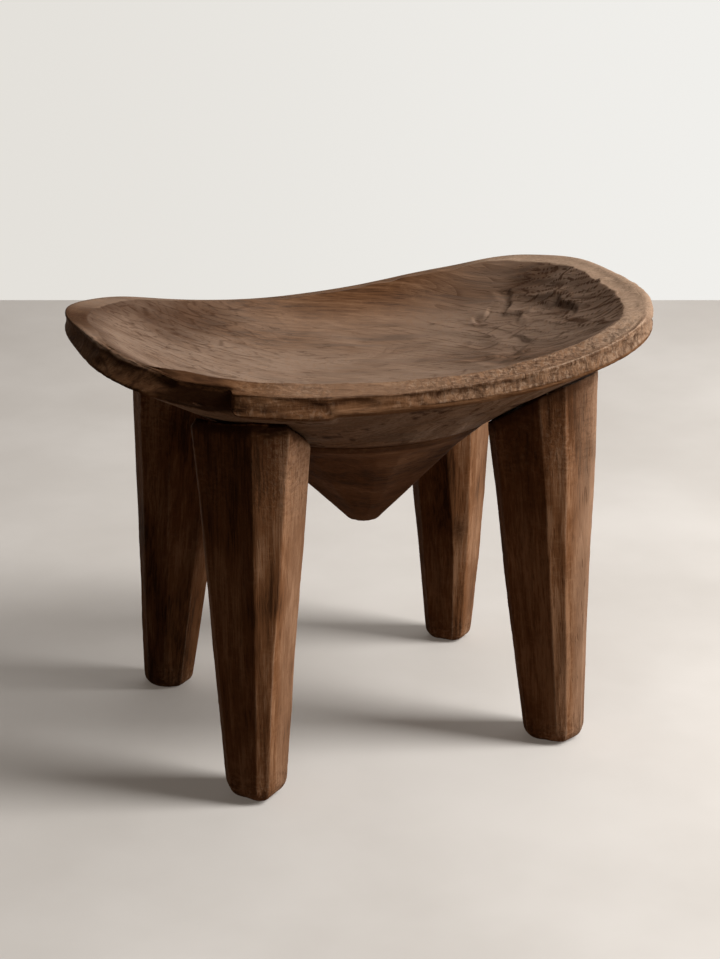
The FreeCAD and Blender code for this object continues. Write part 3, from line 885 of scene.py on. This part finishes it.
# %% The stained wood
def stained_wood(name, streaky, dark, brown, light, worn, bloom_and_sheen):
    """Stain in layers: dark to light by streaks, then bloom with painted sheen, wear with painted light, soot
    with painted shade, and painted shade at the terrace edges, with bump from the same.
    """
    material, tone, shader = new_finish(name)
    grain, stroke = tone.attribute("grain", 1), tone.attribute("stroke", 1)
    wear_and_painted_light, soot_and_shade, dust, rough, tooled = map(tone.attribute, ("wear_and_painted_light", "soot_and_shade", "dust", "rough", "tooled"))
    streak = tone.noise(grain, (9, 150, 150), 8, 0.66, 0.2)
    patch = tone.noise(grain, (8, 17, 17), 3, 0.55, 0.3)
    fibre = tone.noise(grain, (34, 620, 620), 4, 0.65)
    nick = tone.noise(grain, (52, 330, 330), 2, 0.5, 0.3).step(0.61, 0.69)
    speck = tone.noise(grain, (300, 520, 520), 4, 0.68)
    fuzz = tone.noise(grain, (250, 330, 150), 4, 0.66, 0.6)
    chatter = tone.noise(grain, (290, 105, 105), 3, 0.6, 0.3)
    swell = tone.noise(stroke, (4, 50, 50), 0, 0.45)
    terrace = tone.make("ShaderNodeMath", {"operation": "FRACT"}, {0: 6 * swell})
    # Painted shade along the edge of each terrace step
    cut_edge_shade = tooled * (1 - terrace.step(0, 0.36)) * terrace.step(0, 0.05) * streak.step(0.41, 0.56)
    pores = fibre.step(0.6, 0.72)
    amount = streaky * streak.step(0.32, 0.7) + (1.15 - streaky) * patch.step(0.32, 0.68)
    amount = amount + 0.34 * fibre.step(0.34, 0.66) - 0.18
    rub_and_painted_light = (wear_and_painted_light * (0.75 + 0.45 * speck.step(0.36, 0.62))).step(0.1, 0.95)
    soot_and_shade_cover = (soot_and_shade * (0.75 + 0.4 * streak)).step(0.08, 0.95)
    layers = [
        (amount.step(0, 0.55), brown),
        (amount.step(0.5, 1.15), light),
        (dust * (0.45 + 0.55 * patch.step(0.3, 0.62)) * 0.66, bloom_and_sheen),
        (rub_and_painted_light * (0.6 + 0.25 * streak), worn),
        (rough * fuzz.step(0.5, 0.64) * patch.step(0.34, 0.56) * 0.5, worn),
        (rough * (1 - fuzz.step(0.36, 0.48)) * 0.5, dark),
        (soot_and_shade_cover * 0.86, dark),
        (chatter.step(0.5, 0.64) * patch.step(0.44, 0.6) * (0.24 + 0.4 * rough), light),
        (rough * (1 - chatter.step(0.38, 0.5)) * 0.44, dark),
        (cut_edge_shade * 0.72, dark),
        (pores * 0.26, dark),
        (nick * (0.24 + 0.06 * dust), dark),
    ]
    colour = dark
    for cover, tint in layers:
        colour = cover.mix(colour, tint)
    sheen = 0.52 + 0.2 * streak - 0.1 * rub_and_painted_light + 0.12 * pores + 0.08 * soot_and_shade_cover
    height = 0.45 * streak + 0.45 * fibre - 0.25 * pores - nick * (0.2 + 0.6 * dust) + rough * fuzz * 1.5
    height = height + chatter * (0.35 * patch.step(0.45, 0.6) + 0.8 * rough) + 1.2 * tooled * terrace
    bump = tone.make("ShaderNodeBump", {}, {"Strength": 0.55, "Distance": 0.001, "Height": height})
    tone.feed(shader, {"Base Color": colour, "Roughness": sheen, "Normal": bump, "Specular IOR Level": 0.012})
    print(name, "nodes", len(tone.tree.nodes))
    return material


seat_stain = stained_wood(
    "seat_stain", 0.75, (0.036, 0.015, 0.007, 1), (0.11, 0.05, 0.022, 1), (0.19, 0.1, 0.052, 1),
    (0.36, 0.248, 0.17, 1), (0.236, 0.162, 0.117, 1),
)
leg_stain = stained_wood(
    "leg_stain", 0.46, (0.046, 0.019, 0.008, 1), (0.138, 0.058, 0.024, 1), (0.262, 0.14, 0.076, 1),
    (0.33, 0.222, 0.15, 1), (0.3, 0.19, 0.125, 1),
)

# %% [markdown]
# Wedges and dowels sit inside the joints and were never stained. Their solids stay as they are, with a bare
# wood finish read from Object coordinates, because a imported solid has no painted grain.

# %% The bare wood
def bare_wood(name, pale, deep):
    """Unstained wood: pale to deep by streaks along Z, with fine fibre as bump."""
    material, tone, shader = new_finish(name)
    place = tone.make("ShaderNodeTexCoord", {}, {}, "Object")
    streak = tone.noise(place, (320, 320, 24), 4, 0.6, 0.4)
    fibre = tone.noise(place, (1500, 1500, 60), 2, 0.5)
    colour = streak.step(0.3, 0.7).mix(pale, deep)
    height = 0.6 * streak + 0.4 * fibre
    bump = tone.make("ShaderNodeBump", {}, {"Strength": 0.3, "Distance": 0.0004, "Height": height})
    tone.feed(shader, {"Base Color": colour, "Roughness": 0.55 + 0.2 * fibre, "Normal": bump})
    return material


plain_wood = bare_wood("plain_wood", (0.5, 0.34, 0.19, 1), (0.36, 0.22, 0.11, 1))
hidden_nodes = [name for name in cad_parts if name.startswith(("wedge_", "keel_dowel_"))]
for name in hidden_nodes:
    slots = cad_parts[name].data.materials
    slots.clear()
    slots.append(plain_wood)
print("bare wood on", hidden_nodes)

# %% [markdown]
# Each skin stands for its solid, moves with the stool's one body and takes its finish.

# %% Dress the stool
def dress(piece, node, material):
    """The piece takes its finish, rides on the body and replaces its solid."""
    piece.data.materials.append(material)
    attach(piece, "root")
    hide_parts(node)


dress(seat, "seat", seat_stain)
dress(keel, "keel_block", leg_stain)
for name, piece in leg_pieces.items():
    dress(piece, "leg_" + name, leg_stain)
print("dressed", 2 + len(leg_pieces), "pieces")

# %% [markdown]
# The camera stands a little above the seat and to its left, with a long lens. Its place was worked out from
# the stool's own measures. Blender's camera looks along its own -Z, so it is tipped up from straight down.

# %% Camera
camera_place = (-0.62218, -1.77976, 0.92799)
yaw, pitch = math.radians(-19.29), math.radians(20.29)
focal_pixels, picture_pixels, sensor_width = 2200.5, 959, 36
view = bpy.data.cameras.new("camera")
view.lens = focal_pixels * sensor_width / picture_pixels
view.sensor_width = sensor_width
camera = add_object("camera", view)
camera.location = camera_place
camera.rotation_euler = (math.pi / 2 - pitch, 0, yaw)
bpy.context.scene.camera = camera
ahead = np.array([-math.sin(yaw), math.cos(yaw), 0])
right = np.array([math.cos(yaw), math.sin(yaw), 0])
print("lens", round(view.lens, 1))

# %% [markdown]
# The stool stands on a pale floor that ends in a straight line behind it. The pale ground behind that line
# is the world. Both are shown pale to the camera and to reflections, the floor with a faint glow, but the
# light that they send back to the stool is dimmer and warmer, so its dark sides stay dark.

# %% Floor and background
floor_behind, floor_ahead, floor_half_width = 2, 3.317, 5
below = np.array([*camera_place[:2], 0])
start, end = below - floor_behind * ahead, below + floor_ahead * ahead
aside = floor_half_width * right
corners = [start - aside, start + aside, end + aside, end - aside]
ground = bpy.data.meshes.new("floor")
ground.from_pydata(corners, [], [(0, 1, 2, 3)])
floor = add_object("floor", ground)


def shown_to_the_eye(tone):
    """1 for rays from the camera and those that reflections and glass send on, 0 for light that bounces."""
    seen = 0
    for ray in ("Is Camera Ray", "Is Glossy Ray", "Is Transmission Ray"):
        seen = tone.sign("MAXIMUM", seen, tone.make("ShaderNodeLightPath", {}, {}, ray))
    return seen


plaster, tone, shader = new_finish("floor_plaster")
place = tone.make("ShaderNodeTexCoord", {}, {}, "Object")
cloud = tone.noise(place, (2.2, 2.2, 2.2), 5, 0.55)
pale_floor = cloud.step(0.3, 0.7).mix((0.44, 0.414, 0.386, 1), (0.53, 0.504, 0.476, 1))
seen = shown_to_the_eye(tone)
floor_colour = seen.mix((0.18, 0.126, 0.088, 1), pale_floor)
floor_glow = seen.mix((0, 0, 0, 1), (0.092, 0.078, 0.066, 1))
tone.feed(shader, {"Base Color": floor_colour, "Emission Color": floor_glow, "Emission Strength": 1})
tone.feed(shader, {"Roughness": 0.8, "Specular IOR Level": 0.2})
ground.materials.append(plaster)

world = bpy.data.worlds.new("studio")
bpy.context.scene.world = world
world.use_nodes = True
sky = Tone(world.node_tree)
weak = sky.make("ShaderNodeBackground", {}, {"Color": (1, 0.88, 0.76, 1), "Strength": 0.03})
# The backdrop is painted paler towards the right, on the lamp's side: painted light
way = sky.make("ShaderNodeTexCoord", {}, {}, "Generated")
sideways = sky.make("ShaderNodeVectorMath", {"operation": "DOT_PRODUCT"}, {0: way, 1: right}, "Value")
ground_colour = sideways.step(-0.22, 0.22).mix((0.77, 0.745, 0.7, 1), (0.88, 0.87, 0.84, 1))
pale = sky.make("ShaderNodeBackground", {}, {"Color": ground_colour, "Strength": 1})
both = sky.make("ShaderNodeMixShader", {}, {0: shown_to_the_eye(sky), 1: weak, 2: pale})
sky.feed(world.node_tree.nodes["World Output"], {"Surface": both})
print("floor ends", floor_ahead, "m ahead of the camera")

# %% [markdown]
# A tall soft lamp stands on the right, so the facets turned to it are bright, those turned away are dark,
# and soft shadows lie to the left. A larger and weaker one hangs above for the dish and the floor.

# %% Lamps
def soft_lamp(name, place, target, width, height, power, colour):
    """A rectangular lamp at a place, turned to face a target."""
    lamp = bpy.data.lights.new(name, "AREA")
    lamp.shape = "RECTANGLE"
    lamp.size, lamp.size_y, lamp.energy, lamp.color = width, height, power, colour
    holder = add_object(name, lamp)
    aim = np.subtract(target, place)
    tilt = math.atan2(math.hypot(*aim[:2]), -aim[2])
    holder.location = place
    holder.rotation_euler = (tilt, 0, math.atan2(aim[1], aim[0]) - math.pi / 2)


key_place = 2.3 * right - 0.38 * ahead + (0, 0, 1.8)
soft_lamp("key_lamp", key_place, (0, 0, 0.2), 1, 2.4, 155, (1, 0.99, 0.975))
soft_lamp("top_lamp", (0.9, 0.7, 2.6), (0, 0, 0.3), 2.6, 2.6, 27, (1, 0.985, 0.97))
print("key lamp at", key_place.round(2))

# %% [markdown]
# Last, colours are shown as they are, without a film's curve.

# %% Finish
bpy.context.scene.view_settings.view_transform = "Standard"
